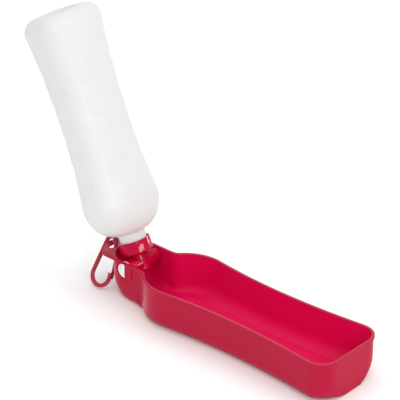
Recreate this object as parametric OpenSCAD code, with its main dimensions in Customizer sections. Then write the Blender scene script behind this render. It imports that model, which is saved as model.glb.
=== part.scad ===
// Travel water bottle for dogs. A squeeze bottle screws into a tap cap, whose
// cross barrel turns on a keyed spindle in the head of a long drinking trough.
// Folded down, the bottle lies in the trough; swung up, the tap is open.
// Millimetres, +Z up, X along the trough from the hinge to the free end, Y across.
// The origin is on the underside, halfway from the hinge axis to the free end.

/* [Trough] */
// Length from the hinge axis to the free end
trough_reach = 252.6; // [235:1:270]
// Height of the rim above the table
trough_h = 41.2; // [38:0.2:46]
// Half width at the two bulges
bulge_half_w = 39.4; // [37:0.2:44]
// Half width at the waist
waist_half_w = 33.7; // [31:0.2:36]
// How far the waist lies hingewards of the middle between the bulges
waist_shift = 5; // [0:1:15]
// Wall thickness
wall_t = 1.8; // [1.4:0.1:2.4]
// Radius of the bend between side wall and floor
bend_r = 13; // [10:0.5:18]
// The same radius at the free end, where the section is rounder
end_bend_r = 21.5; // [14:0.5:24]
// Plan radius of the free end's corners
corner_r = 17; // [14:1:20]
// How far the rim bead stands proud of the wall
bead_t = 1; // [0.6:0.1:1.6]
// Height of the rim bead
bead_h = 2.6; // [2:0.2:4]

/* [Hinge head] */
// Half width of the hinge head
head_half_w = 22.5; // [21:0.5:26]
// Depth of the hinge axis below the rim
hinge_drop = 8.5; // [7:0.25:11]
// From the hinge axis back to the centre of the round rear wall
head_back = 3.9; // [2:0.1:6]
// From the hinge axis forward to the crease of the shoulder
shoulder_start = 18.5; // [16:0.5:22]
// From the hinge axis forward to the middle of the first bulge
shoulder_end = 58; // [52:1:64]
// Radius of the crease where the shoulder leaves the head
crease_r = 12; // [6:1:16]
// Radius of the bend under the head's side walls
head_bend_r = 6; // [4:0.5:10]
// How far the rear wall curves forward on its way down
rear_sweep = 18; // [12:1:22]
// Height over which it does so
rear_rise = 27; // [20:1:32]
// Radius of the flat pads round the spindle's ends
pad_r = 10.1; // [9:0.1:12]
// How far the pads stand proud of the wall
pad_t = 0.6; // [0.4:0.1:1]

/* [Hanging tab] */
// From the head's rear wall back to the tab's rear edge
tab_reach = 12.8; // [12.2:0.2:14.6]
// Plan radius of the tab's rear edge
tab_r = 27.5; // [25:0.5:32]
// Plan radius of the tab's corners
tab_corner_r = 8; // [5:0.5:10]
// Width of the rim left outside the slot
tab_rim_w = 6.3; // [5.8:0.1:6.6]
// Width of the slot for the carabiner
slot_w = 5.6; // [5.4:0.1:5.8]
// Length of the slot
slot_l = 21; // [14:1:24]

/* [Tap] */
// Outer radius of the screw cup
cup_r = 15.5; // [14.8:0.1:17]
// Radius inside the cup, over the crests of the neck's thread
cup_bore_r = 14.1; // [13.6:0.1:14.3]
// Height of the cup
cup_h = 12.1; // [10:0.1:14]
// From the hinge axis up to the underside of the cup
cup_lift = 10.7; // [10:0.1:13]
// Thickness of the cup's floor
cup_floor_t = 2; // [1.4:0.1:2.6]
// Radius of the upright body between cup and nozzle
tap_body_r = 8.2; // [7.8:0.1:9]
// How far the nozzle reaches below the hinge axis
nozzle_drop = 8.3; // [7.8:0.1:10]
// Radius of the nozzle's rounded edge
nozzle_round_r = 2.4; // [1:0.2:3]
// Outer radius of the cross barrel
barrel_r = 7.3; // [6.8:0.1:7.6]
// Radius of the water way
port_r = 2.4; // [1.6:0.1:2.8]
// Radius of the water way at the nozzle's mouth
mouth_r = 3.2; // [2.9:0.1:4]

/* [Spindle] */
// Radius of the spindle's shaft
shaft_r = 5; // [4.4:0.1:5.4]
// Radius of the flange that seats inside the head
flange_r = 7.9; // [7.8:0.1:9]
// Thickness of the flange
flange_t = 1.6; // [1.2:0.1:2]
// Radius of the D-shaped head
key_r = 7; // [6:0.1:7.4]
// From the hinge axis forward to the flat of the D
key_flat = 0.9; // [0:0.1:3]
// Radius of the journal at the far end
journal_r = 4; // [3:0.1:4.2]
// Thickness of the O-rings' section
oring_t = 1.8; // [1.4:0.1:2]
// From the middle of the spindle to each O-ring
oring_gap = 11.5; // [10.8:0.1:14]

/* [Bottle] */
// Lean of the open bottle behind the vertical
open_lean = 23.7; // [15:1:32]
// Length from the hinge axis to the base
bottle_reach = 246; // [228:1:247]
// Half width at the bottle's two bulges
bottle_half_w = 36.7; // [34:0.1:37]
// Half width at its waist
bottle_waist_w = 30.9; // [29:0.1:31.2]
// Half thickness at the bulges
bottle_half_t = 27.8; // [25:0.1:28.6]
// Half thickness at the waist
bottle_waist_t = 25.5; // [23:0.1:26]
// Wall thickness of the bottle
bottle_wall = 0.9; // [0.7:0.1:1.4]
// Outer radius of the neck
neck_r = 12.8; // [12:0.1:13]
// Wall thickness of the neck
neck_wall = 1.6; // [1.2:0.1:2]
// From the hinge axis to the top of the shoulder dome
dome_start = 31; // [29:0.5:34]
// Height of the shoulder dome
dome_h = 32; // [28:0.5:36]
// Radius of the edge round the base
base_r = 13; // [8:0.5:15]
// From the hinge axis to the waist
bottle_waist = 140; // [130:1:150]
// How far the base is dished
base_dish = 2.5; // [1:0.5:4]
// Thickness of the seal in the cup
seal_t = 1.5; // [1:0.1:2]

/* [Carabiner] */
// Thickness of the carabiner's bar
bar_t = 4; // [3.4:0.1:4.4]
// Width of the bar
bar_w = 3.5; // [3:0.1:3.7]
// Radius along the middle of the bar at the narrow end
eye_r = 6; // [5.8:0.1:6.2]
// The same at the wide end
bow_r = 10.5; // [9.5:0.1:11.5]
// Between the centres of the two ends
bow_drop = 31.8; // [28:0.2:32]
// Length of the straight nose
nose_l = 3.6; // [2:0.2:4.4]
// Width of the sprung gate
gate_w = 2.6; // [2.2:0.1:3]
// Thickness of the sprung gate
gate_t = 2.6; // [2:0.1:3]
// From the narrow end down to the gate's root
gate_start = 7; // [6:0.5:9]
// Length of the gate
gate_l = 26.5; // [22:0.5:27]
// Length over which the gate's root laps the frame
gate_lap = 3; // [2:0.5:4]
// Lean of the carabiner out of the vertical
clip_lean = 28; // [27.5:0.5:34]
// Its roll towards the rear
clip_roll = 0; // [0:0.5:8]
// Its place along the slot
clip_y = -1.8; // [-4:0.2:4]
// Gap between its eye and the head's rear wall, from which it swings back if need be
clip_gap = 1.9; // [1.5:0.1:3]

/* [Fits] */
// Radial running clearance of the tap on the spindle
run_gap = 0.05; // [0.02:0.01:0.1]
// Clearance of parts that are pushed together and stay
push_gap = 0.15; // [0.1:0.05:0.25]
// Clearance between faces that pass each other
side_gap = 0.3; // [0.2:0.05:0.4]

/* [Hidden] */
$fn = 72;

hinge_x = -trough_reach / 2;
hinge_z = trough_h - hinge_drop;
end_x = trough_reach / 2 - bead_t;
head_x = hinge_x - head_back;
crease_x = hinge_x + shoulder_start;
bulge_x = hinge_x + shoulder_end;
corner_x = end_x - corner_r;
waist_x = (bulge_x + corner_x) / 2 - waist_shift;
head_in_w = head_half_w - wall_t;
pad_y = head_half_w + pad_t;
groove_w = oring_t + 2 * side_gap;
oring_r = shaft_r + run_gap / 2 - oring_t / 2;
groove_r = oring_r - oring_t / 2 - run_gap / 2;
end_fullness = 6;
mark_x = 143;
mark_y = 13;
mark_r = 2.8;
mark_depth = 0.3;
tab_t = wall_t;
tab_end = head_back + head_half_w + tab_reach;
tab_side = head_half_w + bead_t;
cup_round_r = 1;
mouth_h = 2.5;
seal_lip = 1;
n_bottle = 48;
body_steps = 12;
edge_steps = 4;
bottle_e = 2.8;
neck_lap = 1.5;
dish_top = 0.8;
dish_floor = 0.55;
bar_edge = 0.9;
gate_edge = 0.6;
weld = 0.1;

// ---- plan of the trough: tangent arcs from the rear wall to the free end ----
waist_in = bulge_half_w - waist_half_w;
shoulder_turn = 2 * atan((bulge_half_w - head_half_w) / (bulge_x - crease_x));
bulge_r = (bulge_x - crease_x) / sin(shoulder_turn) - crease_r;

// radius of the waist arc that is tangent to a bulge arc "run" away along X
function waist_arc_r(run) = let (q = bulge_r - waist_in)
    (run * run + q * q - bulge_r * bulge_r) / (2 * waist_in);
function arc(c, r, a0, a1, n) =
    [for (i = [0:n - 1]) let (a = a0 + (a1 - a0) * i / n) c + r * [cos(a), sin(a)]];

near_run = waist_x - bulge_x;
far_run = corner_x - waist_x;
near_r = waist_arc_r(near_run);
far_r = waist_arc_r(far_run);
near_turn = asin(near_run / (bulge_r + near_r));
far_turn = asin(far_run / (bulge_r + far_r));
end_half_w = bulge_half_w - corner_r;
half_plan = concat(
    arc([head_x, 0], head_half_w, 180, 90, 8),
    arc([crease_x, head_half_w + crease_r], crease_r, -90, shoulder_turn - 90, 4),
    arc([bulge_x, bulge_half_w - bulge_r], bulge_r, 90 + shoulder_turn, 90 - near_turn, 8),
    arc([waist_x, waist_half_w + near_r], near_r, -90 - near_turn, -90, 4),
    arc([waist_x, waist_half_w + far_r], far_r, -90, far_turn - 90, 4),
    arc([corner_x, bulge_half_w - bulge_r], bulge_r, 90 + far_turn, 90, 4),
    arc([corner_x, end_half_w], corner_r, 90, 0, 7),
    [[end_x, end_half_w], [end_x, 0]]);
n_half = len(half_plan);
plan = concat(half_plan,
    [for (i = [n_half - 2:-1:1]) [half_plan[i][0], -half_plan[i][1]]]);
n_plan = len(plan);
normals = [for (i = [0:n_plan - 1])
    let (d = plan[(i + 1) % n_plan] - plan[(i + n_plan - 1) % n_plan])
    [-d[1], d[0]] / norm(d)];

// ---- walls of the trough ----
function mix(a, b, t) = a + (b - a) * min(1, max(0, t));
function bend_at(x) = x < bulge_x
    ? mix(head_bend_r, bend_r, (x - crease_x) / (bulge_x - crease_x))
    : mix(bend_r, end_bend_r, (x - corner_x) / corner_r);
function section_w(x) = x < crease_x ? head_half_w
    : mix(bulge_half_w, end_half_w + end_fullness, (x - corner_x) / corner_r);
function moved(i, out) = plan[i] + out * normals[i];
function level(out, z) =
    [for (i = [0:n_plan - 1]) let (p = moved(i, out)) [p[0], p[1], z]];
// one ring of the bend: at turn 0 it leaves the wall, at 90 it reaches the floor
function bend_ring(out, turn, floor_z) = [for (i = [0:n_plan - 1])
    let (p = moved(i, out),
         r = bend_at(p[0]),
         back = max(0, (crease_x - p[0]) / (crease_x - head_x + head_half_w)),
         inset = 1 - cos(turn))
    [p[0] + rear_sweep * inset * back,
     p[1] * (1 - r * inset / section_w(p[0])),
     floor_z + mix(r, rear_rise, back) * (1 - sin(turn))]];
bend_turns = [0:15:90];
outer_rings = concat(
    [level(bead_t, trough_h), level(bead_t, trough_h - bead_h), level(0, trough_h - bead_h)],
    [for (turn = bend_turns) bend_ring(0, turn, 0)]);
inner_rings = concat([level(-wall_t, trough_h)],
    [for (turn = bend_turns) bend_ring(-wall_t, turn, wall_t)]);

function flatten(rows) = [for (row = rows) for (p = row) p];
function reversed(list) = [for (i = [len(list) - 1:-1:0]) list[i]];
// faces that join ring k to ring k + 1 of rings with n points each
function band(k, n) = [for (i = [0:n - 1]) each
    let (j = (i + 1) % n, a = k * n, b = a + n) [[a + i, b + i, a + j], [a + j, b + i, b + j]]];

// a vessel's shell: down its outer rings, across, and up its inner rings
module shell(outer, inner) {
    n = len(outer[0]);
    rings = concat(reversed(inner), outer);
    last = len(rings) - 1;
    polyhedron(flatten(rings), concat(
        [[for (i = [0:n - 1]) i]],
        [for (k = [0:last - 1]) each band(k, n)],
        [[for (i = [n - 1:-1:0]) last * n + i]]));
}

module at_hinge() translate([hinge_x, 0, hinge_z]) children();
// local Z runs up the open bottle's axis
module at_bottle() at_hinge() rotate([0, -open_lean, 0]) children();

// a cylinder along Y from y0 to y1
module y_rod(r, y0, y1) translate([0, y1, 0]) rotate([90, 0, 0]) cylinder(h = y1 - y0, r = r);
module ring_between(r_in, r_out, h) difference() {
    cylinder(h = h, r = r_out);
    translate([0, 0, -1]) cylinder(h = h + 2, r = r_in);
}

// ---- trough ----
module tab_plan() {
    run = sqrt(pow(tab_r - tab_corner_r, 2) - pow(tab_side - tab_corner_r, 2));
    flank = (tab_side - tab_corner_r) * tab_r / (tab_r - tab_corner_r);
    translate([tab_r - tab_end, 0]) {
        intersection() {
            circle(tab_r);
            translate([-tab_r, -flank]) square([tab_r, 2 * flank]);
        }
        for (side = [-1, 1]) translate([-run, side * (tab_side - tab_corner_r)]) circle(tab_corner_r);
        translate([-run, -tab_side]) square([run + tab_end - tab_r - head_back, 2 * tab_side]);
    }
}

module tab() translate([hinge_x, 0, trough_h - tab_t]) linear_extrude(tab_t) difference() {
    tab_plan();
    translate([-head_back, 0]) circle(head_half_w - wall_t / 2);
    translate([tab_rim_w - tab_end + slot_w / 2, 0]) for (side = [-1, 1])
        translate([0, side * (slot_l - slot_w) / 2]) circle(d = slot_w);
    translate([tab_rim_w - tab_end, (slot_w - slot_l) / 2]) square([slot_w, slot_l - slot_w]);
}

// a pad round one end of the spindle, open up to the bead
module pad() translate([-pad_r, head_in_w, 0]) {
    intersection() {
        translate([pad_r, 0, 0]) y_rod(pad_r, 0, pad_y - head_in_w);
        translate([0, 0, -pad_r]) cube([2 * pad_r, pad_y - head_in_w, pad_r + weld]);
    }
    cube([2 * pad_r, pad_y - head_in_w, hinge_drop - bead_h + weld]);
}

// D-shaped key along Y, grown by gap
module key(gap, y0, y1) intersection() {
    y_rod(key_r + gap, y0, y1);
    translate([-2 * key_r, y0 - 1, -2 * key_r]) cube([2 * key_r + key_flat + gap, y1 - y0 + 2, 4 * key_r]);
}

module trough() color("crimson") difference() {
    union() {
        shell(outer_rings, inner_rings);
        tab();
        at_hinge() for (side = [0, 1]) mirror([0, side, 0]) pad();
    }
    at_hinge() {
        for (side = [0, 1]) mirror([0, side, 0])
            y_rod(flange_r + side_gap, head_in_w - flange_t, head_in_w);
        key(push_gap, -pad_y - 1, 1 - head_in_w);
        y_rod(journal_r + push_gap, head_in_w - 1, pad_y + 1);
    }
    for (side = [-1, 1]) translate([hinge_x + mark_x, side * mark_y, wall_t - mark_depth])
        cylinder(h = 1, r = mark_r);
}

// ---- tap ----
module valve_spindle() color("white") at_hinge() difference() {
    union() {
        key(0, -pad_y, -head_in_w);
        y_rod(flange_r, -head_in_w, flange_t - head_in_w);
        y_rod(shaft_r, -head_in_w, head_in_w - side_gap);
        y_rod(journal_r, 0, pad_y);
    }
    rotate([0, -open_lean, 0]) cylinder(h = 2 * shaft_r + 2, r = port_r, center = true);
    for (side = [-1, 1]) translate([0, side * oring_gap, 0]) rotate([90, 0, 0])
        translate([0, 0, -groove_w / 2]) ring_between(groove_r, shaft_r + 1, groove_w);
}

module o_ring(side) color("dimgray") at_hinge() translate([0, side * oring_gap, 0])
    rotate([90, 0, 0]) rotate_extrude() translate([oring_r, 0]) circle(d = oring_t);
module o_ring_near() o_ring(-1);
module o_ring_far() o_ring(1);

// an upright drum from z0 to z1 whose lower edge is rounded
module drum(r, z0, z1, round_r) rotate_extrude() {
    translate([0, z0 + round_r]) square([r, z1 - z0 - round_r]);
    translate([0, z0]) square([r - round_r, round_r + weld]);
    translate([r - round_r, z0 + round_r]) circle(round_r);
}

module valve_cap() color("red") at_bottle() difference() {
    union() {
        drum(tap_body_r, -nozzle_drop, cup_lift + cup_floor_t / 2, nozzle_round_r);
        drum(cup_r, cup_lift, cup_lift + cup_h, cup_round_r);
        y_rod(barrel_r, flange_t + side_gap - head_in_w, head_in_w - side_gap);
    }
    y_rod(shaft_r + run_gap, -head_half_w, head_half_w);
    translate([0, 0, cup_lift + cup_floor_t]) cylinder(h = cup_h, r = cup_bore_r);
    translate([0, 0, -nozzle_drop - 1]) cylinder(h = nozzle_drop + cup_lift + cup_floor_t + 2, r = port_r);
    translate([0, 0, -nozzle_drop - run_gap]) cylinder(h = mouth_h, r1 = mouth_r, r2 = port_r);
}

module cap_seal() color("lightgray") at_bottle() translate([0, 0, cup_lift + cup_floor_t])
    ring_between(neck_r - neck_wall - seal_lip, cup_bore_r - push_gap, seal_t);

// ---- bottle ----
neck_start = cup_lift + cup_floor_t + seal_t + run_gap;
dome_end = dome_start + dome_h;
base_start = bottle_reach - base_r;
function body_share(w) = w < bottle_waist ? (bottle_waist - w) / (bottle_waist - dome_end)
    : (w - bottle_waist) / (base_start - bottle_waist);
function sgn_pow(v, e) = sign(v) * pow(abs(v), e);
// one ring of the bottle: half width a, half thickness b, squareness e
function bottle_ring(w, a, b, e) = [for (i = [0:n_bottle - 1]) let (q = 360 * (i + 0.5) / n_bottle)
    [b * sgn_pow(cos(q), 2 / e), a * sgn_pow(sin(q), 2 / e), w]];
// out is 0 on the outside and minus the wall thickness on the inside
function bottle_rings(out) = let (root_r = out < 0 ? neck_r - neck_wall / 3 : neck_r + neck_wall / 3)
    concat(
    [for (t = [0:15:75]) bottle_ring(dome_start + dome_h * (1 - cos(t)) - out * cos(t),
        root_r + (bottle_half_w + out - root_r) * sin(t),
        root_r + (bottle_half_t + out - root_r) * sin(t), mix(2, bottle_e, sin(t)))],
    [for (i = [0:body_steps]) let (w = dome_end + (base_start - dome_end) * i / body_steps,
        s = body_share(w) * body_share(w))
        bottle_ring(w, mix(bottle_waist_w, bottle_half_w, s) + out,
            mix(bottle_waist_t, bottle_half_t, s) + out, bottle_e)],
    [for (k = [1:edge_steps]) let (t = 90 * k / edge_steps, r = base_r + out)
        bottle_ring(base_start + r * sin(t), bottle_half_w - base_r + r * cos(t),
            bottle_half_t - base_r + r * cos(t), bottle_e)],
    [for (k = [0, 1]) let (share = dish_top - k * (dish_top - dish_floor))
        bottle_ring(bottle_reach + out - k * base_dish,
            (bottle_half_w - base_r) * share, (bottle_half_t - base_r) * share, bottle_e)]);

module bottle() color("whitesmoke") at_bottle() {
    shell(bottle_rings(0), bottle_rings(-bottle_wall));
    translate([0, 0, neck_start])
        ring_between(neck_r - neck_wall, neck_r, dome_start + neck_lap - neck_start);
}

// ---- carabiner: local X across, Z up, Y through it, origin at the eye's centre ----
side_lean = asin((bow_r - eye_r) / bow_drop);
side_l = bow_drop * cos(side_lean);
// what the eye needs beside the strip, less what the tab leaves it
clip_short = eye_r + (bar_w + tab_rim_w) / 2 + clip_gap - tab_reach;
clip_turn = clip_roll + asin(clip_short / (bow_drop / 2));
module at_clip() translate([hinge_x - tab_end + tab_rim_w / 2, clip_y, trough_h - tab_t / 2])
    rotate([-clip_lean, 0, 0]) rotate([0, clip_turn, 0]) children();
// local Z runs up the side where the gate is, from the end of the eye's arc
module at_side() translate([eye_r * cos(side_lean), 0, eye_r * sin(side_lean)])
    rotate([0, -side_lean, 0]) children();
// outline of a bar w wide and t thick whose edges are bevelled by c
function bar_outline(w, t, c) = [[w / 2, t / 2 - c], [w / 2 - c, t / 2], [c - w / 2, t / 2],
    [-w / 2, t / 2 - c], [-w / 2, c - t / 2], [c - w / 2, -t / 2], [w / 2 - c, -t / 2], [w / 2, c - t / 2]];
// the frame's middle line, each point with the direction of its outer side
function side_point(drop) =
    eye_r * [cos(side_lean), sin(side_lean)] + drop * [sin(side_lean), -cos(side_lean)];
function bend(centre, r, a0, a1, n) = [for (i = [0:n]) let (a = a0 + (a1 - a0) * i / n)
    [centre + r * [cos(a), sin(a)], a]];
clip_path = concat(
    [[side_point(gate_start + gate_lap), side_lean]],
    bend([0, 0], eye_r, side_lean, 180 - side_lean, 14),
    bend([0, -bow_drop], bow_r, 180 - side_lean, 360 + side_lean, 22),
    [[side_point(side_l - nose_l), 360 + side_lean]]);
module bent_bar(path, outline) {
    n = len(outline);
    last = len(path) - 1;
    polyhedron([for (p = path) for (q = outline)
            [p[0][0] + q[0] * cos(p[1]), q[1], p[0][1] + q[0] * sin(p[1])]],
        concat([[for (i = [0:n - 1]) i]], [for (k = [0:last - 1]) each band(k, n)],
            [[for (i = [n - 1:-1:0]) last * n + i]]));
}

module carabiner() color("crimson") at_clip() {
    bent_bar(clip_path, bar_outline(bar_w, bar_t, bar_edge));
    at_side() translate([0, 0, -gate_start - gate_lap / 2])
        y_rod(gate_w / 2 - weld, bar_t / 2 - weld, bar_t / 2 + side_gap - run_gap);
}

module carabiner_gate() color("crimson") at_clip() at_side()
    translate([0, (bar_t + gate_t) / 2 + side_gap, -gate_start - gate_l])
        linear_extrude(gate_l) polygon(bar_outline(gate_w, gate_t, gate_edge));

trough();
valve_spindle();
o_ring_near();
o_ring_far();
valve_cap();
cap_seal();
bottle();
carabiner();
carabiner_gate();
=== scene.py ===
import math

import bpy
from mathutils import Matrix, Vector


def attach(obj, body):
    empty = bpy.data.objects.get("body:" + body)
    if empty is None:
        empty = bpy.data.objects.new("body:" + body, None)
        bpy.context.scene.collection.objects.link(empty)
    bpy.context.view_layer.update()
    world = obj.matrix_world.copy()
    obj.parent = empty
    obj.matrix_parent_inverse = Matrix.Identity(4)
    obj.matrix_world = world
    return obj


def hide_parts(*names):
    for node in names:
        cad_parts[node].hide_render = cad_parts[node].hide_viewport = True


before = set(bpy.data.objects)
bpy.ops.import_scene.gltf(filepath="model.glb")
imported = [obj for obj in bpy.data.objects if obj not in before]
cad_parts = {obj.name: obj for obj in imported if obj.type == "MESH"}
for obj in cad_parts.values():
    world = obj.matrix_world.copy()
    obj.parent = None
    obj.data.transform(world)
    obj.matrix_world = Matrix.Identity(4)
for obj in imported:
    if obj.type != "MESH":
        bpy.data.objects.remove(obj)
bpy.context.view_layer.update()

mm = 0.001
# points closer than this, in metres, are merged
weld = {"seam": 1e-7, "cut": 1e-6, "copy": 2e-6, "floor": 0.05 * mm}

# a long lens from well away, looking down on the trough's near side and free end
cameraView = {
    "place": (0.9997, -1.1680, 0.9601),
    "tilt": 62,
    "turn": 42,
    "lens": 180,
    "sensor": 36,
    "nearest": 0.05,
    "farthest": 20,
}


def addCamera():
    lens = bpy.data.cameras.new("camera")
    lens.lens = cameraView["lens"]
    lens.sensor_width = cameraView["sensor"]
    lens.clip_start = cameraView["nearest"]
    lens.clip_end = cameraView["farthest"]
    camera = bpy.data.objects.new("camera", lens)
    camera.location = cameraView["place"]
    camera.rotation_euler = (
        math.radians(cameraView["tilt"]),
        0,
        math.radians(cameraView["turn"]),
    )
    bpy.context.scene.collection.objects.link(camera)
    bpy.context.scene.camera = camera


addCamera()

# soft light in a white room; a panel with "only" lights one piece, and that piece's gloss
# alone unless the panel is a fill
studio = {
    "roomStrength": 0.88,
    "floorTone": 0.97,
    "floorRoughness": 0.9,
    "floorGloss": 0.1,
    "floorSize": 12,
    "panels": {
        "topPanel": {
            "place": (0, 0.15, 1.9), "aim": (0, 0, 0.05), "size": (1.8, 1.8), "power": 9,
        },
        "frontPanel": {
            "place": (1.25, -0.75, 0.9), "aim": (-0.1, 0, 0.1), "size": (0.4, 0.4), "power": 5,
        },
        "rightPanel": {
            "place": (1.5, 0.7, 1.2), "aim": (-0.1, 0, 0.05), "size": (0.6, 0.6), "power": 3.5,
        },
        "backSheen": {
            "place": (-1.3, 1.45, 1.05), "aim": (-0.1, 0, 0.04), "size": (1.0, 0.5), "power": 8,
            "only": "troughBody",
        },
        "highSheen": {
            "place": (-0.48, 0.45, 1.7), "aim": (-0.08, 0.02, 0.01), "size": (0.35, 0.35),
            "power": 12, "only": "troughBody",
        },
        "broadSheen": {
            "place": (1.45, -0.05, 0.40), "aim": (-0.13, 0, 0.05), "size": (1.1, 0.3),
            "power": 29, "only": "tapCap",
        },
        "narrowSheen": {
            "place": (0.45, 1.5, 0.15), "aim": (-0.13, 0, 0.05), "size": (0.2, 0.6),
            "power": 15, "only": "tapCap",
        },
        "creaseSheen": {
            "place": (-1.36, 0.29, -0.74), "aim": (-0.11, -0.02, 0.02), "size": (0.3, 0.5),
            "power": 1.3, "only": "troughBody",
        },
        "neckFill": {
            "place": (-0.04, -0.28, 0.16), "aim": (-0.13, 0, 0.07), "size": (0.1, 0.1),
            "power": 0.07, "only": "squeezeBottle", "fill": True,
        },
    },
}
sheenTargets = {}
for panel in studio["panels"].values():
    if "only" in panel and panel["only"] not in sheenTargets:
        sheenTargets[panel["only"]] = bpy.data.collections.new(panel["only"] + "Lit")


def addStudio():
    scene = bpy.context.scene
    scene.view_settings.view_transform = "Standard"
    world = bpy.data.worlds.new("whiteRoom")
    world.use_nodes = True
    room = world.node_tree.nodes["Background"]
    room.inputs["Color"].default_value = (1, 1, 1, 1)
    room.inputs["Strength"].default_value = studio["roomStrength"]
    scene.world = world
    for name, panel in studio["panels"].items():
        light = bpy.data.lights.new(name, "AREA")
        light.shape = "RECTANGLE"
        light.size, light.size_y = panel["size"]
        light.energy = panel["power"]
        holder = bpy.data.objects.new(name, light)
        place = Vector(panel["place"])
        holder.location = place
        facing = Vector(panel["aim"]) - place
        holder.rotation_euler = facing.to_track_quat("-Z", "Y").to_euler()
        if "only" in panel:
            target = sheenTargets[panel["only"]]
            holder.visible_diffuse = "fill" in panel
            holder.light_linking.receiver_collection = target
            if place.z < 0:  # from below, nothing but the lit piece stands in its way
                holder.light_linking.blocker_collection = target
        scene.collection.objects.link(holder)


addStudio()
print("camera and lights set")


def pickOnly(piece):
    bpy.ops.object.select_all(action="DESELECT")
    piece.select_set(True)
    bpy.context.view_layer.objects.active = piece


def settlePlace(piece):
    pickOnly(piece)
    bpy.ops.object.transform_apply(location=True, rotation=True, scale=True)


def share(value, low, high):
    return min(1, max(0, (value - low) / (high - low)))


def mix(a, b, part):
    return a + (b - a) * part


def arc(centre, radius, start, end, count):
    points = []
    for step in range(count):
        angle = math.radians(start + (end - start) * step / count)
        points.append((
            centre[0] + radius * math.cos(angle),
            centre[1] + radius * math.sin(angle),
        ))
    return points


# a grid is rolled up so that its rows become the given rings, and both ends are closed
def rollGrid(name, rings, closeEnds=True, ringLoop=False):
    bpy.ops.object.select_all(action="DESELECT")
    rows, around = len(rings), len(rings[0])
    stacks = rows if ringLoop else rows - 1
    bpy.ops.mesh.primitive_grid_add(x_subdivisions=stacks, y_subdivisions=around, size=2)
    piece = bpy.context.object
    piece.name = piece.data.name = name
    for point in piece.data.vertices:
        row = round((point.co.x + 1) / 2 * stacks) % rows
        column = round((point.co.y + 1) / 2 * around) % around
        point.co = rings[row][column]
    bpy.ops.object.mode_set(mode="EDIT")
    bpy.ops.mesh.select_all(action="SELECT")
    bpy.ops.mesh.remove_doubles(threshold=weld["seam"])
    if closeEnds:
        bpy.ops.mesh.select_all(action="DESELECT")
        bpy.ops.mesh.select_mode(type="EDGE")
        bpy.ops.mesh.select_non_manifold()
        bpy.ops.mesh.edge_face_add()
    bpy.ops.mesh.select_all(action="SELECT")
    bpy.ops.mesh.normals_make_consistent(inside=False)
    bpy.ops.object.mode_set(mode="OBJECT")
    return piece


def cutOrJoin(piece, tool, operation):
    pickOnly(piece)
    change = piece.modifiers.new("change", "BOOLEAN")
    change.operation = operation
    change.solver = "EXACT"
    change.object = tool
    bpy.ops.object.modifier_apply(modifier=change.name)
    bpy.data.objects.remove(tool)


def yRod(radius, y0, y1, place, sides=96):
    bpy.ops.object.select_all(action="DESELECT")
    bpy.ops.mesh.primitive_cylinder_add(
        vertices=sides,
        radius=radius * mm,
        depth=(y1 - y0) * mm,
        location=(place[0] * mm, (y0 + y1) / 2 * mm, place[1] * mm),
        rotation=(math.radians(90), 0, 0),
    )
    rod = bpy.context.object
    settlePlace(rod)
    return rod


def smoothByAngle(piece, degrees):
    pickOnly(piece)
    bpy.ops.object.shade_smooth_by_angle(angle=math.radians(degrees))


def mergeSlivers(piece, gap):
    pickOnly(piece)
    bpy.ops.object.mode_set(mode="EDIT")
    bpy.ops.mesh.select_all(action="SELECT")
    bpy.ops.mesh.remove_doubles(threshold=gap)
    bpy.ops.mesh.dissolve_degenerate(threshold=gap)
    bpy.ops.object.mode_set(mode="OBJECT")


roundedSmooth = 35  # degrees up to which the rounded copies are shaded smooth


# a merged copy of a CAD node, whose sharp edges are then rounded
def roundedCopy(name, node, edgeRadius, sharpest=40, segments=3, flatWithin=0.4):
    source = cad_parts[node]
    piece = source.copy()
    piece.data = source.data.copy()
    piece.name = piece.data.name = name
    piece.parent = None
    bpy.context.scene.collection.objects.link(piece)
    pickOnly(piece)
    bpy.ops.object.mode_set(mode="EDIT")
    bpy.ops.mesh.select_all(action="SELECT")
    bpy.ops.mesh.remove_doubles(threshold=weld["copy"])
    bpy.ops.mesh.dissolve_limited(angle_limit=math.radians(flatWithin))
    bpy.ops.object.mode_set(mode="OBJECT")
    edge = piece.modifiers.new("edge", "BEVEL")
    edge.width = edgeRadius * mm
    edge.segments = segments
    edge.limit_method = "ANGLE"
    edge.angle_limit = math.radians(sharpest)
    bpy.ops.object.modifier_apply(modifier=edge.name)
    smoothByAngle(piece, roundedSmooth)
    return piece


mouldedSkin = {"driftDetail": 3, "grainDetail": 5, "bumpHigh": 0.4}


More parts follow.
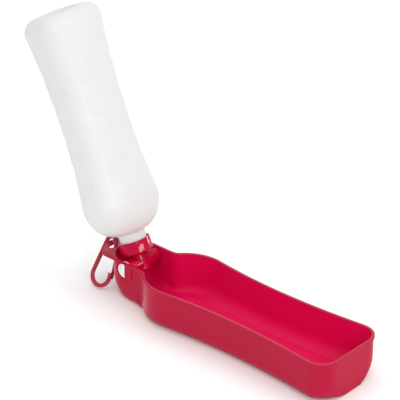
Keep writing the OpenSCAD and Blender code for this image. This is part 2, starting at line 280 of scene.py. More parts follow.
# moulded plastic or rubber: a slow drift of tone, and a fine grain in gloss and height
def makeMouldedGroup():
    group = bpy.data.node_groups.new("mouldedSkin", "ShaderNodeTree")
    face = group.interface
    face.new_socket("Coordinates", in_out="INPUT", socket_type="NodeSocketVector")
    for name in ("Base", "Deep"):
        face.new_socket(name, in_out="INPUT", socket_type="NodeSocketColor")
    for name in ("Drift Scale", "Grain Scale", "Roughness", "Roughness Spread"):
        face.new_socket(name, in_out="INPUT", socket_type="NodeSocketFloat")
    face.new_socket("Color", in_out="OUTPUT", socket_type="NodeSocketColor")
    for name in ("Roughness", "Height"):
        face.new_socket(name, in_out="OUTPUT", socket_type="NodeSocketFloat")
    nodes, links = group.nodes, group.links
    given = nodes.new("NodeGroupInput")
    result = nodes.new("NodeGroupOutput")
    drift = nodes.new("ShaderNodeTexNoise")
    drift.inputs["Detail"].default_value = mouldedSkin["driftDetail"]
    grain = nodes.new("ShaderNodeTexNoise")
    grain.inputs["Detail"].default_value = mouldedSkin["grainDetail"]
    links.new(given.outputs["Coordinates"], drift.inputs["Vector"])
    links.new(given.outputs["Drift Scale"], drift.inputs["Scale"])
    links.new(given.outputs["Coordinates"], grain.inputs["Vector"])
    links.new(given.outputs["Grain Scale"], grain.inputs["Scale"])
    tone = nodes.new("ShaderNodeMix")
    tone.data_type = "RGBA"
    links.new(drift.outputs["Fac"], tone.inputs["Factor"])
    links.new(given.outputs["Base"], tone.inputs["A"])
    links.new(given.outputs["Deep"], tone.inputs["B"])
    spread = nodes.new("ShaderNodeMath")
    spread.operation = "MULTIPLY_ADD"
    links.new(grain.outputs["Fac"], spread.inputs[0])
    links.new(given.outputs["Roughness Spread"], spread.inputs[1])
    links.new(given.outputs["Roughness"], spread.inputs[2])
    links.new(tone.outputs["Result"], result.inputs["Color"])
    links.new(spread.outputs["Value"], result.inputs["Roughness"])
    links.new(grain.outputs["Fac"], result.inputs["Height"])
    return group


mouldedGroup = makeMouldedGroup()

# drift and grain are scales per metre; bowl is the inside's brighter red, painted light for the
# light falling in and bouncing between the walls, and milk the part of the light that goes in,
# milkReach mm deep
finishes = {
    "troughRed": {
        "base": (0.46, 0.003, 0.039), "deep": (0.43, 0.002, 0.035),
        "drift": 14, "grain": 900, "roughness": 0.4, "spread": 0.12, "bump": 0.06,
        "specular": 0.16, "bowlLight": (0.72, 0.002, 0.090),
    },
    "capRed": {
        "base": (0.51, 0.001, 0.038), "deep": (0.46, 0.001, 0.034),
        "drift": 30, "grain": 500, "roughness": 0.07, "spread": 0.05, "bump": 0.015,
        "specular": 0.12,
    },
    "clipRed": {
        "base": (0.42, 0.002, 0.034), "deep": (0.37, 0.002, 0.028),
        "drift": 60, "grain": 700, "roughness": 0.3, "spread": 0.12, "bump": 0.04,
        "specular": 0.5,
    },
    "spindleWhite": {
        "base": (0.86, 0.87, 0.86), "deep": (0.78, 0.80, 0.79),
        "drift": 50, "grain": 600, "roughness": 0.32, "spread": 0.1, "bump": 0.03,
        "specular": 0.5,
    },
    "bottleNatural": {
        "base": (0.71, 0.72, 0.71), "deep": (0.685, 0.70, 0.69),
        "drift": 9, "grain": 260, "roughness": 0.3, "spread": 0.12, "bump": 0.05,
        "specular": 0.4, "milk": 0.25, "milkReach": 3,
    },
    "sealRubber": {
        "base": (0.02, 0.02, 0.02), "deep": (0.012, 0.012, 0.013),
        "drift": 80, "grain": 1200, "roughness": 0.5, "spread": 0.2, "bump": 0.08,
        "specular": 0.4,
    },
    "washerRubber": {
        "base": (0.66, 0.65, 0.61), "deep": (0.58, 0.57, 0.54),
        "drift": 60, "grain": 900, "roughness": 0.55, "spread": 0.15, "bump": 0.06,
        "specular": 0.35,
    },
}


def makeFinish(name):
    look = finishes[name]
    material = bpy.data.materials.new(name)
    material.use_nodes = True
    nodes, links = material.node_tree.nodes, material.node_tree.links
    shader = nodes["Principled BSDF"]
    place = nodes.new("ShaderNodeTexCoord")
    skin = nodes.new("ShaderNodeGroup")
    skin.node_tree = mouldedGroup
    skin.inputs["Base"].default_value = (*look["base"], 1)
    skin.inputs["Deep"].default_value = (*look["deep"], 1)
    skin.inputs["Drift Scale"].default_value = look["drift"]
    skin.inputs["Grain Scale"].default_value = look["grain"]
    skin.inputs["Roughness"].default_value = look["roughness"]
    skin.inputs["Roughness Spread"].default_value = look["spread"]
    links.new(place.outputs["Object"], skin.inputs["Coordinates"])
    colour = skin.outputs["Color"]
    # where the bowl attribute is set, the brighter bowl red is mixed in: painted light on the
    # inside
    if "bowlLight" in look:
        bowlLight = nodes.new("ShaderNodeAttribute")
        bowlLight.attribute_name = "bowlLight"
        skinOrBowlLight = nodes.new("ShaderNodeMix")
        skinOrBowlLight.data_type = "RGBA"
        skinOrBowlLight.inputs["B"].default_value = (*look["bowlLight"], 1)
        links.new(bowlLight.outputs["Fac"], skinOrBowlLight.inputs["Factor"])
        links.new(colour, skinOrBowlLight.inputs["A"])
        colour = skinOrBowlLight.outputs["Result"]
    links.new(colour, shader.inputs["Base Color"])
    links.new(skin.outputs["Roughness"], shader.inputs["Roughness"])
    bump = nodes.new("ShaderNodeBump")
    bump.inputs["Strength"].default_value = look["bump"]
    bump.inputs["Distance"].default_value = mouldedSkin["bumpHigh"] * mm
    links.new(skin.outputs["Height"], bump.inputs["Height"])
    links.new(bump.outputs["Normal"], shader.inputs["Normal"])
    shader.inputs["Specular IOR Level"].default_value = look["specular"]
    if "milk" in look:
        shader.inputs["Subsurface Weight"].default_value = look["milk"]
        shader.inputs["Subsurface Radius"].default_value = (look["milkReach"] * mm,) * 3
        shader.inputs["Subsurface Scale"].default_value = 1
    return material


paint = {name: makeFinish(name) for name in finishes}


def dress(piece, body, nodes, finish):
    piece.data.materials.clear()
    piece.data.materials.append(paint[finish])
    if piece.name in sheenTargets:
        sheenTargets[piece.name].objects.link(piece)
    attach(piece, body)
    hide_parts(*nodes)


past = 1  # how far cutters reach beyond what they cut, in mm
roundMiddle = 0.3  # share of a round's radius that its middle point stands off the corner

# sizes of all pieces are in mm and angles in degrees; the bowl values bound the inside's
# brighter red, which is painted light
trough = {
    "reach": 252.6, "rim": 41.2, "bulgeHalf": 39.4, "waistHalf": 33.7, "waistShift": 5,
    "wall": 1.8, "bend": 13, "endBend": 21.5, "cornerRadius": 17, "beadOut": 1, "beadHigh": 2.6,
    "headHalf": 22.5, "hingeDrop": 8.5, "headBack": 3.9, "shoulderStart": 18.5, "shoulderEnd": 58,
    "creaseRadius": 12, "headBend": 6, "rearSweep": 18, "rearRise": 27, "endFullness": 6,
    "padRadius": 10.1, "padOut": 0.6, "padEdge": 0.25, "padRoot": 0.4, "padOverlap": 0.1,
    "lipRound": 0.45, "beadFillet": 0.2, "beadHold": 1.2, "footRound": 1.6, "bendSteps": 18,
    "markAlong": 143, "markAcross": 13, "markRadius": 2.8, "markDepth": 0.3, "markEdge": 0.1,
    "floorBorder": 1.2, "bowlLightEnd": 30, "bowlLightBelow": 0.9, "bowlLightFacing": 0.15, "smooth": 32,
}
# how many parts each stretch of the plan has, from the back of the head to the free end
planSteps = {
    "head": 26, "neck": 8, "crease": 12, "bulge": 26, "waist": 16, "cheek": 12, "corner": 20,
    "end": 10,
}
hingeX = -trough["reach"] / 2
hingeZ = trough["rim"] - trough["hingeDrop"]
headInner = trough["headHalf"] - trough["wall"]
padFace = trough["headHalf"] + trough["padOut"]
headX = hingeX - trough["headBack"]
creaseX = hingeX + trough["shoulderStart"]
bulgeX = hingeX + trough["shoulderEnd"]
endX = trough["reach"] / 2 - trough["beadOut"]
cornerX = endX - trough["cornerRadius"]
endHalf = trough["bulgeHalf"] - trough["cornerRadius"]


# outline of the outer wall from above: arcs that meet smoothly, mirrored
def troughPlan():
    t, steps = trough, planSteps
    waistX = (bulgeX + cornerX) / 2 - t["waistShift"]
    waistIn = t["bulgeHalf"] - t["waistHalf"]
    rise = t["bulgeHalf"] - t["headHalf"]
    turn = 2 * math.degrees(math.atan(rise / (bulgeX - creaseX)))
    bulge = (bulgeX - creaseX) / math.sin(math.radians(turn)) - t["creaseRadius"]

    def waistArc(run):
        q = bulge - waistIn
        return (run * run + q * q - bulge * bulge) / (2 * waistIn)

    nearRun, farRun = waistX - bulgeX, cornerX - waistX
    near, far = waistArc(nearRun), waistArc(farRun)
    nearTurn = math.degrees(math.asin(nearRun / (bulge + near)))
    farTurn = math.degrees(math.asin(farRun / (bulge + far)))
    head, crease, corner = t["headHalf"], t["creaseRadius"], t["cornerRadius"]
    half = arc((headX, 0), head, 180, 90, steps["head"])
    half += [(mix(headX, creaseX, s / steps["neck"]), head) for s in range(steps["neck"])]
    half += arc((creaseX, head + crease), crease, -90, turn - 90, steps["crease"])
    half += arc((bulgeX, t["bulgeHalf"] - bulge), bulge, 90 + turn, 90 - nearTurn, steps["bulge"])
    half += arc((waistX, t["waistHalf"] + near), near, -90 - nearTurn, -90, steps["waist"])
    half += arc((waistX, t["waistHalf"] + far), far, -90, farTurn - 90, steps["waist"])
    half += arc((cornerX, t["bulgeHalf"] - bulge), bulge, 90 + farTurn, 90, steps["cheek"])
    half += arc((cornerX, endHalf), corner, 90, 0, steps["corner"])
    half += [(endX, mix(endHalf, 0, s / steps["end"])) for s in range(steps["end"] + 1)]
    return half + [(x, -y) for x, y in reversed(half[1:-1])]


# rings up the inside from the floor's edge, over the rim and bead, and down the outside
def troughRings():
    t = trough
    plan = troughPlan()
    count = len(plan)
    normals = []
    for i in range(count):
        ahead, behind = plan[(i + 1) % count], plan[i - 1]
        dx, dy = ahead[0] - behind[0], ahead[1] - behind[1]
        size = math.hypot(dx, dy)
        normals.append((-dy / size, dx / size))

    def moved(i, out):
        return plan[i][0] + out * normals[i][0], plan[i][1] + out * normals[i][1]

    def level(out, z):
        return [Vector((*moved(i, out), z)) * mm for i in range(count)]

    # one ring of the bend, from turn 0 at the wall to 90 at the floor
    def bendRing(out, turn, floor):
        ring = []
        inset, sink = 1 - math.cos(math.radians(turn)), 1 - math.sin(math.radians(turn))
        for i in range(count):
            x, y = moved(i, out)
            if x < bulgeX:
                bend = mix(t["headBend"], t["bend"], share(x, creaseX, bulgeX))
            else:
                bend = mix(t["bend"], t["endBend"], share(x, cornerX, endX))
            if x < creaseX:
                half = t["headHalf"]
            else:
                half = mix(t["bulgeHalf"], endHalf + t["endFullness"], share(x, cornerX, endX))
            back = max(0, (creaseX - x) / (creaseX - headX + t["headHalf"]))
            z = floor + mix(bend, t["rearRise"], back) * sink
            foot = t["footRound"] + out
            low = max(0, foot - (z - floor))
            curl = (foot - math.sqrt(max(0, foot * foot - low * low))) if foot > 0 else 0
            x -= curl * share(x, cornerX, endX + out)
            ring.append(Vector((
                x + t["rearSweep"] * inset * back,
                y * (1 - bend * inset / half),
                z,
            )) * mm)
        return ring

    lip, wall, rim, bead, fillet = (
        t[size] for size in ("lipRound", "wall", "rim", "beadOut", "beadFillet")
    )
    under, middle = rim - t["beadHigh"], lip * roundMiddle
    turns = [90 * s / t["bendSteps"] for s in range(t["bendSteps"] + 1)]
    inner = [bendRing(-wall, turn, wall) for turn in reversed(turns)]
    inner += [level(-wall, rim - lip * k) for k in (6, 3, 1)]  # these hold the lip's round
    inner += [level(-wall + middle, rim - middle), level(-wall + lip, rim)]
    outer = [
        level(bead - lip, rim),
        level(bead - middle, rim - middle),
        level(bead, rim - lip),
        level(bead, under + lip),
        level(bead - middle, under + middle),
        level(bead - lip, under),
        level(fillet, under),
        level(fillet / 4, under - fillet / 4),
        level(0, under - fillet),
        level(0, under - t["beadHold"]),
    ]
    outer += [bendRing(0, turn, 0) for turn in turns]
    return inner + outer


# a half disc with straight sides up into the bead; the groove's cutter stops just below it
def padOutline(radius, arcParts=40, sideParts=6, topParts=12):
    angles = [math.pi + math.pi * s / arcParts for s in range(arcParts + 1)]
    points = [(radius * math.cos(angle), radius * math.sin(angle)) for angle in angles]
    overlap = trough["padOverlap"] * (1 if radius <= trough["padRadius"] else -1)
    top = trough["hingeDrop"] - trough["beadHigh"] + overlap
    points += [(radius, mix(0, top, s / sideParts)) for s in range(1, sideParts + 1)]
    points += [(mix(radius, -radius, s / topParts), top) for s in range(1, topParts + 1)]
    points += [(-radius, mix(top, 0, s / sideParts)) for s in range(1, sideParts)]
    return points


# the pad itself, or with grow and a negative sink the cutter for the groove at its foot
def makePad(side, grow, sink):
    edge = trough["padEdge"]
    middle = roundMiddle * edge
    radius = trough["padRadius"] + grow
    if sink:
        layers = ((radius, trough["headHalf"] + sink), (radius, padFace + past))
    else:
        layers = (
            (radius, headInner + trough["padRoot"]),
            (radius, padFace - edge),
            (radius - middle, padFace - middle),
            (radius - edge, padFace),
        )
    rings = []
    for size, y in layers:
        outline = padOutline(size)
        rings.append([Vector((hingeX + x, side * y, hingeZ + z)) * mm for x, z in outline])
    return rollGrid("pad", rings)


tab = {
    "reach": 12.8, "edgeRadius": 27.5, "cornerRadius": 8, "rimWide": 6.3,
    "slotWide": 5.6, "slotLong": 21, "round": 0.45, "around": 180,
}
tabEnd = trough["headBack"] + trough["headHalf"] + tab["reach"]
slotX = tab["rimWide"] - tabEnd + tab["slotWide"] / 2


# where the tab's edge lies in one direction from the slot's middle, found by halving
def tabPoint(angle, grow, farthest=60, halvings=40):
    t, r = tab, tab["cornerRadius"]
    side = trough["headHalf"] + trough["beadOut"]
    centreX = t["edgeRadius"] - tabEnd
    front = -trough["headBack"]
    turnX = centreX - math.sqrt((t["edgeRadius"] - r) ** 2 - (side - r) ** 2)
    turnY = side - r

    def inside(x, y):
        y = abs(y)
        if x > front + grow or y > side + grow:
            return False
        if x > turnX:
            return True
        if math.hypot(x - centreX, y) > t["edgeRadius"] + grow:
            return False
        if y > turnY * (x - centreX) / (turnX - centreX):
            return math.hypot(x - turnX, y - turnY) <= r + grow
        return True

    low, high = 0, farthest
    for _ in range(halvings):
        middle = (low + high) / 2
        if inside(slotX + middle * math.cos(angle), middle * math.sin(angle)):
            low = middle
        else:
            high = middle
    return slotX + low * math.cos(angle), low * math.sin(angle)


# the same for the slot, which is round at both ends
def slotPoint(angle, grow):
    radius = tab["slotWide"] / 2 + grow
    straight = (tab["slotLong"] - tab["slotWide"]) / 2
    dx, dy = math.cos(angle), math.sin(angle)
    reach = radius / abs(dx)
    if abs(dy) * reach > straight:
        b = straight * abs(dy)
        reach = b + math.sqrt(max(0, b * b - straight * straight + radius * radius))
    return slotX + reach * dx, reach * dy


def makeTab():
    top, bottom, r = trough["rim"], trough["rim"] - trough["wall"], tab["round"]
    middle = roundMiddle * r
    angles = [2 * math.pi * (i + 0.5) / tab["around"] for i in range(tab["around"])]
    spec = [
        (tabPoint, -r, top),
        (tabPoint, -middle, top - middle),
        (tabPoint, 0, top - r),
        (tabPoint, 0, bottom + r),
        (tabPoint, -middle, bottom + middle),
        (tabPoint, -r, bottom),
        (slotPoint, r, bottom),
        (slotPoint, middle, bottom + middle),
        (slotPoint, 0, bottom + r),
        (slotPoint, 0, top - r),
        (slotPoint, middle, top - middle),
        (slotPoint, r, top),
    ]
    rings = []
    for shape, grow, z in spec:
        ring = []
        for angle in angles:
            x, y = shape(angle, grow)
            ring.append(Vector((hingeX + x, y, z)) * mm)
        rings.append(ring)
    piece = rollGrid("tab", rings, closeEnds=False, ringLoop=True)
    bpy.ops.object.select_all(action="DESELECT")
    bpy.ops.mesh.primitive_cylinder_add(
        vertices=192,
        radius=(trough["headHalf"] - trough["wall"] / 2) * mm,
        depth=4 * trough["wall"] * mm,
        location=(headX * mm, 0, bottom * mm),
    )
    headOpening = bpy.context.object
    cutOrJoin(piece, headOpening, "DIFFERENCE")
    return piece


# the spindle's D-shaped head and what is cut for it in the pad
key = {
    "radius": 7, "flat": 0.9, "gap": 0.15, "flangeRadius": 7.9, "flangeThick": 1.6,
    "flangeGap": 0.3, "journal": 4, "footGroove": 0.7, "footDepth": 0.35, "lineRadius": 8.4,
    "lineFlat": 3.3, "lineWide": 0.6, "lineDepth": 0.3, "faceRadius": 5.2, "faceFlat": -0.9,
    "faceDepth": 0.35,
}


# a disc with one side cut flat, from y0 to y1
def makeKeyCutter(radius, flat, y0, y1, arcParts=60, flatParts=8):
    limit = math.acos(flat / radius)
    angles = [mix(limit, 2 * math.pi - limit, s / arcParts) for s in range(arcParts + 1)]
    points = [(radius * math.cos(angle), radius * math.sin(angle)) for angle in angles]
    low, high = points[-1][1], points[0][1]
    points += [(flat, mix(low, high, s / flatParts)) for s in range(1, flatParts)]
    rings = [[Vector((hingeX + x, y, hingeZ + z)) * mm for x, z in points] for y in (y0, y1)]
    return rollGrid("keyCutter", rings)


# marks the points of the inside that get the brighter red, painted light for the light that
# falls in and bounces there; one floor mark is left out and keeps the darker outside red
def markBowlLight(piece):
    t = trough
    mark = piece.data.attributes.new("bowlLight", "FLOAT", "POINT")
    low, high = hingeX, t["reach"] / 2 - t["bowlLightEnd"]
    for point in piece.data.vertices:
        x, y, z = (value / mm for value in point.co)
        away = Vector((min(high, max(low, x)) - x, -y, t["rim"] - z))
        inward = away.normalized().dot(point.normal) > t["bowlLightFacing"]
        below = t["rim"] - z > t["bowlLightBelow"]
        fromMark = math.hypot(x - hingeX - t["markAlong"], y + t["markAcross"])
        # the near floor mark is left out of the painted light, so it shows in the darker outside
        # red
        darkerMark = fromMark < t["markRadius"] + t["markEdge"] and z < t["wall"] - t["markDepth"] / 2
        mark.data[point.index].value = 1 if inward and below and not darkerMark else 0


# a narrow flat border round the floor keeps the shading of its bend off the flat
def borderFloors(piece, width):
    pickOnly(piece)
    bpy.ops.object.mode_set(mode="EDIT")
    bpy.ops.mesh.select_all(action="DESELECT")
    bpy.ops.mesh.select_mode(type="FACE")
    bpy.ops.object.mode_set(mode="OBJECT")
    for face in piece.data.polygons:
        face.select = len(face.vertices) > 4  # the floors alone have more than four corners
    bpy.ops.object.mode_set(mode="EDIT")
    bpy.ops.mesh.inset(thickness=width * mm)
    bpy.ops.mesh.select_all(action="SELECT")
    bpy.ops.mesh.remove_doubles(threshold=weld["floor"])
    bpy.ops.object.mode_set(mode="OBJECT")


def makeTrough():
    piece = rollGrid("troughBody", troughRings())
    borderFloors(piece, trough["floorBorder"])
    cutOrJoin(piece, makeTab(), "UNION")
    for side in (-1, 1):
        cutOrJoin(piece, makePad(side, key["footGroove"], -key["footDepth"]), "DIFFERENCE")
        cutOrJoin(piece, makePad(side, 0, 0), "UNION")
    for across in (-1, 1):
        bpy.ops.mesh.primitive_cylinder_add(
            vertices=64,
            radius=trough["markRadius"] * mm,
            depth=2 * past * mm,
            location=(
                (hingeX + trough["markAlong"]) * mm,
                across * trough["markAcross"] * mm,
                (trough["wall"] - trough["markDepth"] + past) * mm,
            ),
        )
        cutOrJoin(piece, bpy.context.object, "DIFFERENCE")
    radius, flat, thin = key["lineRadius"], key["lineFlat"], key["lineWide"]
    line = makeKeyCutter(radius, flat, -padFace - past, key["lineDepth"] - padFace)
    core = makeKeyCutter(radius - thin, flat - thin, -padFace - 2 * past, 0)
    cutOrJoin(line, core, "DIFFERENCE")
    cutOrJoin(piece, line, "DIFFERENCE")
    hinge = (hingeX, hingeZ)
    recess, thick = key["flangeRadius"] + key["flangeGap"], key["flangeThick"]
    cutOrJoin(piece, yRod(recess, headInner - thick, headInner, hinge), "DIFFERENCE")
    cutOrJoin(piece, yRod(recess, -headInner, thick - headInner, hinge), "DIFFERENCE")
    radius, flat = key["radius"] + key["gap"], key["flat"] + key["gap"]
    keyHole = makeKeyCutter(radius, flat, -padFace - past, past - headInner)
    cutOrJoin(piece, keyHole, "DIFFERENCE")
    farHole = yRod(key["journal"] + key["gap"], headInner - past, padFace + past, hinge)
    cutOrJoin(piece, farHole, "DIFFERENCE")
    mergeSlivers(piece, weld["cut"])
    markBowlLight(piece)
    smoothByAngle(piece, trough["smooth"])
    return piece


dress(makeTrough(), "trough", ["trough"], "troughRed")
print("trough made")

# heights are measured up the leaning axis from the hinge
bottle = {
    "lean": 23.7, "reach": 246, "halfWide": 36.7, "waistWide": 30.9, "halfThick": 27.8,
    "waistThick": 25.5, "wall": 0.9, "neckRadius": 12.8, "neckWall": 1.6, "neckStart": 14.25,
    "domeStart": 31, "domeHigh": 32, "baseRound": 13, "waistAt": 140, "dish": 2.5,
    "squareness": 2.8, "around": 216, "finest": 720, "smooth": 50,
    "mouthHold": 0.5, "neckRings": (24, 28), "innerNeckRing": 20, "domeHold": 0.6,
    "innerDomeHold": 0.3, "domeSteps": 24, "sideSteps": 150, "innerSideSteps": 50,
    "baseSteps": 14,
    # share of the flat base's size, and how far the dish has sunk there
    "dishRings": (
        (0.9, 0), (0.82, 0.12), (0.76, 0.45), (0.68, 0.8), (0.58, 0.97), (0.4, 1), (0.2, 1),
    ),
}
dimples = {
    "columns": 12, "evenRows": (86, 116.5, 147, 178, 208), "oddRows": (101, 131.5, 163, 192.5),
    "middle": 147, "smallest": 9, "largest": 17, "depth": 0.7, "shallowest": 0.7,
    "between": (72, 222),
}
thread = {
    "pitch": 3, "high": 0.5, "crest": 0.35, "flank": 0.5, "from": 16, "to": 22.4, "fade": 0.8,
    "margin": 1, "rings": 34, "ringStep": 0.25,
}
domeEnd = bottle["domeStart"] + bottle["domeHigh"]
baseStart = bottle["reach"] - bottle["baseRound"]
leaning = Matrix.Rotation(-math.radians(bottle["lean"]), 3, "Y")
hingeMiddle = Vector((hingeX, 0, hingeZ))


# a point given across and up the leaning axis, in the object's frame
def onAxis(x, y, w):
    return (leaning @ Vector((x, y, w)) + hingeMiddle) * mm


# points at even steps along a superellipse, from the near side towards the front
def ovalRing(halfWide, halfThick, power):
    points = []
    for s in range(bottle["finest"] + 1):
        q = 2 * math.pi * s / bottle["finest"]
        sx, sy = math.sin(q), -math.cos(q)
        points.append((
            halfThick * math.copysign(abs(sx) ** (2 / power), sx),
            halfWide * math.copysign(abs(sy) ** (2 / power), sy),
        ))
    along = [0]
    for a, b in zip(points, points[1:]):
        along.append(along[-1] + math.dist(a, b))
    ring, seen = [], 0
    for i in range(bottle["around"]):
        want = along[-1] * i / bottle["around"]
        while along[seen + 1] < want:
            seen += 1
        part = (want - along[seen]) / (along[seen + 1] - along[seen])
        ring.append((mix(points[seen][0], points[seen + 1][0], part),
                     mix(points[seen][1], points[seen + 1][1], part)))
    return ring, along[-1]


# how deep the wall is pressed in, at one share of the way round and one height
def dimpleDepth(fraction, girth, w):
    d = dimples
    depth = 0
    for column in range(d["columns"]):
        across = (fraction - column / d["columns"] + 0.5) % 1 - 0.5
        if abs(across) * girth > d["largest"]:
            continue
        for row in d["oddRows"] if column % 2 else d["evenRows"]:
            ends = abs(row - d["middle"]) / (d["evenRows"][-1] - d["middle"])
            radius = mix(d["smallest"], d["largest"], ends) / 2
            away = math.hypot(across * girth, w - row) / radius
            if away < 1:
                deep = d["depth"] * mix(d["shallowest"], 1, ends)
                depth = max(depth, deep * (1 - away * away))
    return depth


# height of the neck's screw thread at one place round and along it
def threadHeight(turnPart, w):
    t = thread
    if not t["from"] - t["margin"] < w < t["to"] + t["margin"]:
        return 0
    phase = (w - t["from"]) / t["pitch"] - turnPart
    off = abs(phase - round(phase)) * t["pitch"]
    centre = t["from"] + (round(phase) + turnPart) * t["pitch"]
    start = share(centre, t["from"], t["from"] + t["fade"])
    ends = min(start, 1 - share(centre, t["to"] - t["fade"], t["to"]))
    return t["high"] * ends * (1 - share(off, t["crest"], t["crest"] + t["flank"]))


# rings of the inner or outer wall from the mouth to the base: height, two half sizes, power
def bottleProfile(inward):
    b = bottle
    root = b["neckRadius"] + (b["neckWall"] / 3) * (-1 if inward else 1)
    out = -b["wall"] if inward else 0
    neck = b["neckRadius"] - (b["neckWall"] if inward else 0)
    spec = []
    heights = [b["neckStart"], b["neckStart"] + b["mouthHold"]]
    if inward:
        heights.append(b["innerNeckRing"])
    else:
        first = thread["from"] - thread["margin"]
        heights += [first + thread["ringStep"] * k for k in range(thread["rings"])]
    heights += b["neckRings"]
    heights.append(b["domeStart"] - b["innerDomeHold" if inward else "domeHold"])
    for w in heights:
        spec.append((w, neck, neck, 2))
    for step in range(1, b["domeSteps"] + 1):
        t = math.radians(90 * step / b["domeSteps"])
        rise = b["domeHigh"] * (1 - math.cos(t)) - out * math.cos(t)
        spec.append((
            b["domeStart"] + rise,
            root + (b["halfWide"] + out - root) * math.sin(t),
            root + (b["halfThick"] + out - root) * math.sin(t),
            mix(2, b["squareness"], math.sin(t)),
        ))
    steps = b["innerSideSteps" if inward else "sideSteps"]
    for step in range(1, steps):
        w = mix(domeEnd, baseStart, step / steps)
        lap = b["waistAt"] - w
        part = lap / (b["waistAt"] - domeEnd) if lap > 0 else -lap / (baseStart - b["waistAt"])
        spec.append((
            w,
            mix(b["waistWide"], b["halfWide"], part ** 2) + out,
            mix(b["waistThick"], b["halfThick"], part ** 2) + out,
            b["squareness"],
        ))
    flatWide, flatThick = b["halfWide"] - b["baseRound"], b["halfThick"] - b["baseRound"]
    for step in range(b["baseSteps"] + 1):
        t = math.radians(90 * step / b["baseSteps"])
        turn = (b["baseRound"] + out) * math.cos(t)
        rise = (b["baseRound"] + out) * math.sin(t)
        spec.append((baseStart + rise, flatWide + turn, flatThick + turn, b["squareness"]))
    for size, sink in b["dishRings"]:
        w = b["reach"] + out - sink * b["dish"]
        spec.append((w, flatWide * size, flatThick * size, b["squareness"]))
    return spec


def bottleRings():
    low, high = dimples["between"]
    rings = []
    for inward in (True, False):
        part = []
        for w, wide, thick, power in bottleProfile(inward):
            ring, girth = ovalRing(wide, thick, power)
            count = len(ring)
            placed = []
            for i, (x, y) in enumerate(ring):
                deep = dimpleDepth(i / count, girth, w) if low < w < high else 0
                if w < thread["to"] + thread["margin"] and not inward:
                    deep = -threadHeight(i / count, w)
                if deep:
                    ahead, behind = ring[(i + 1) % count], ring[i - 1]
                    dx, dy = ahead[0] - behind[0], ahead[1] - behind[1]
                    size = math.hypot(dx, dy)
                    x, y = x - deep * dy / size, y + deep * dx / size
                placed.append(onAxis(x, y, w))
            part.append(placed)
        rings += reversed(part) if inward else part
    return rings


def makeBottle():
    piece = rollGrid("squeezeBottle", bottleRings())
    smoothByAngle(piece, bottle["smooth"])
    return piece


dress(makeBottle(), "bottle", ["bottle"], "bottleNatural")
print("bottle made")

# radius of the rounded edges
edges = {"tapCap": 0.35, "spindlePin": 0.3, "clipFrame": 0.45, "clipGate": 0.4}
cupThread = {
    "bore": 14.1, "from": 16.2, "turns": 1.6, "perTurn": 72, "fade": 8, "high": 0.45,
    "crestHalf": 0.25, "rootHalf": 0.7, "rootDeep": 0.3,
}


# a helical ridge on the wall inside the cup
def makeCupThread():
    c = cupThread
    steps = int(c["turns"] * c["perTurn"])
    rings = []
    for step in range(steps + 1):
        turn = 2 * math.pi * step / c["perTurn"]
        ends = share(step, -1, c["fade"]) * (1 - share(step, steps - c["fade"], steps + 1))
        w = c["from"] + thread["pitch"] * step / c["perTurn"]
        high = c["high"] * ends
        ring = []
        for depth, rise in (
            (-c["rootDeep"], -c["rootHalf"]),
            (high, -c["crestHalf"]),
            (high, c["crestHalf"]),
            (-c["rootDeep"], c["rootHalf"]),
        ):
            radius = c["bore"] - depth
            ring.append(onAxis(radius * math.cos(turn), radius * math.sin(turn), w + rise))
        rings.append(ring)
    return rollGrid("cupThread", rings)


tapCap = roundedCopy("tapCap", "valve_cap", edges["tapCap"])
cutOrJoin(tapCap, makeCupThread(), "UNION")
smoothByAngle(tapCap, roundedSmooth)
dress(tapCap, "tap", ["valve_cap"], "capRed")
spindlePin = roundedCopy("spindlePin", "valve_spindle", edges["spindlePin"])
recessEnd = key["faceDepth"] - padFace
recess = makeKeyCutter(key["faceRadius"], key["faceFlat"], -padFace - past, recessEnd)
cutOrJoin(spindlePin, recess, "DIFFERENCE")
smoothByAngle(spindlePin, roundedSmooth)
dress(spindlePin, "trough", ["valve_spindle"], "spindleWhite")

clip = {
    "eyeRadius": 6, "bowRadius": 10.5, "bowDrop": 31.8, "barThick": 4, "lean": 28,
    "across": -1.8, "sharpest": 30, "grooves": 13, "grooveFrom": 0.08, "grooveTo": 0.72,
    "grooveLong": 6, "grooveWide": 0.55, "grooveDepth": 0.35, "grooveSlant": 38,
}


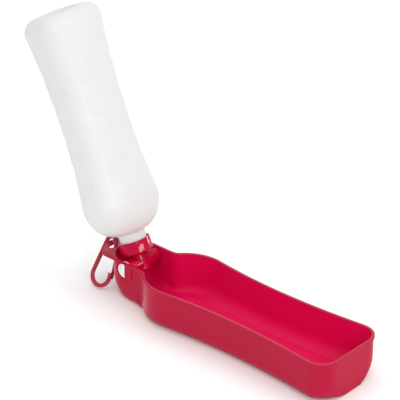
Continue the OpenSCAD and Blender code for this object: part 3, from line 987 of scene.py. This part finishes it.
# bars that cut slanting grip grooves down both faces of the clip's spine
def makeGrooves():
    c = clip
    lean = math.asin((c["bowRadius"] - c["eyeRadius"]) / c["bowDrop"])
    top = Vector((-c["eyeRadius"] * math.cos(lean), 0, c["eyeRadius"] * math.sin(lean)))
    low = c["bowRadius"] * math.sin(lean) - c["bowDrop"]
    end = Vector((-c["bowRadius"] * math.cos(lean), 0, low))
    stripX = hingeX - tabEnd + tab["rimWide"] / 2
    eye = Vector((stripX, c["across"], trough["rim"] - trough["wall"] / 2))
    hang = Matrix.Translation(eye * mm) @ Matrix.Rotation(-math.radians(c["lean"]), 4, "X")
    bpy.ops.object.select_all(action="DESELECT")
    bpy.ops.mesh.primitive_cube_add(size=1)
    first = bpy.context.object
    sizes = (c["grooveLong"], 2 * c["grooveDepth"], c["grooveWide"])
    first.data.transform(Matrix.Diagonal((*(size * mm for size in sizes), 1)))
    first.data.transform(Matrix.Rotation(-math.radians(c["grooveSlant"]), 4, "Y"))
    bars = [first]
    for side in (-1, 1):
        for k in range(c["grooves"]):
            bar = first
            if side > -1 or k:
                bar = first.copy()
                bar.data = first.data.copy()
                bpy.context.scene.collection.objects.link(bar)
                bars.append(bar)
            place = top.lerp(end, mix(c["grooveFrom"], c["grooveTo"], k / (c["grooves"] - 1)))
            place.y = side * c["barThick"] / 2
            bar.matrix_world = hang @ Matrix.Translation(place * mm)
    bpy.ops.object.select_all(action="DESELECT")
    for bar in bars:
        bar.select_set(True)
    bpy.context.view_layer.objects.active = first
    bpy.ops.object.join()
    settlePlace(first)
    return first


clipFrame = roundedCopy("clipFrame", "carabiner", edges["clipFrame"], clip["sharpest"])
cutOrJoin(clipFrame, makeGrooves(), "DIFFERENCE")
smoothByAngle(clipFrame, roundedSmooth)
dress(clipFrame, "clip", ["carabiner"], "clipRed")
clipGate = roundedCopy("clipGate", "carabiner_gate", edges["clipGate"], clip["sharpest"])
dress(clipGate, "gate", ["carabiner_gate"], "clipRed")
for name in ("o_ring_near", "o_ring_far", "cap_seal"):
    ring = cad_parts[name]
    ring.data.materials.clear()
    ring.data.materials.append(paint["washerRubber" if name == "cap_seal" else "sealRubber"])
print("tap, spindle and carabiner made")


def addFloor():
    bpy.ops.object.select_all(action="DESELECT")
    bpy.ops.mesh.primitive_plane_add(size=studio["floorSize"], location=(0, 0, 0))
    floor = bpy.context.object
    floor.name = "studioFloor"
    material = bpy.data.materials.new("paleFloor")
    material.use_nodes = True
    shader = material.node_tree.nodes["Principled BSDF"]
    tone = studio["floorTone"]
    shader.inputs["Base Color"].default_value = (tone, tone, tone, 1)
    shader.inputs["Roughness"].default_value = studio["floorRoughness"]
    shader.inputs["Specular IOR Level"].default_value = studio["floorGloss"]
    floor.data.materials.append(material)


addFloor()
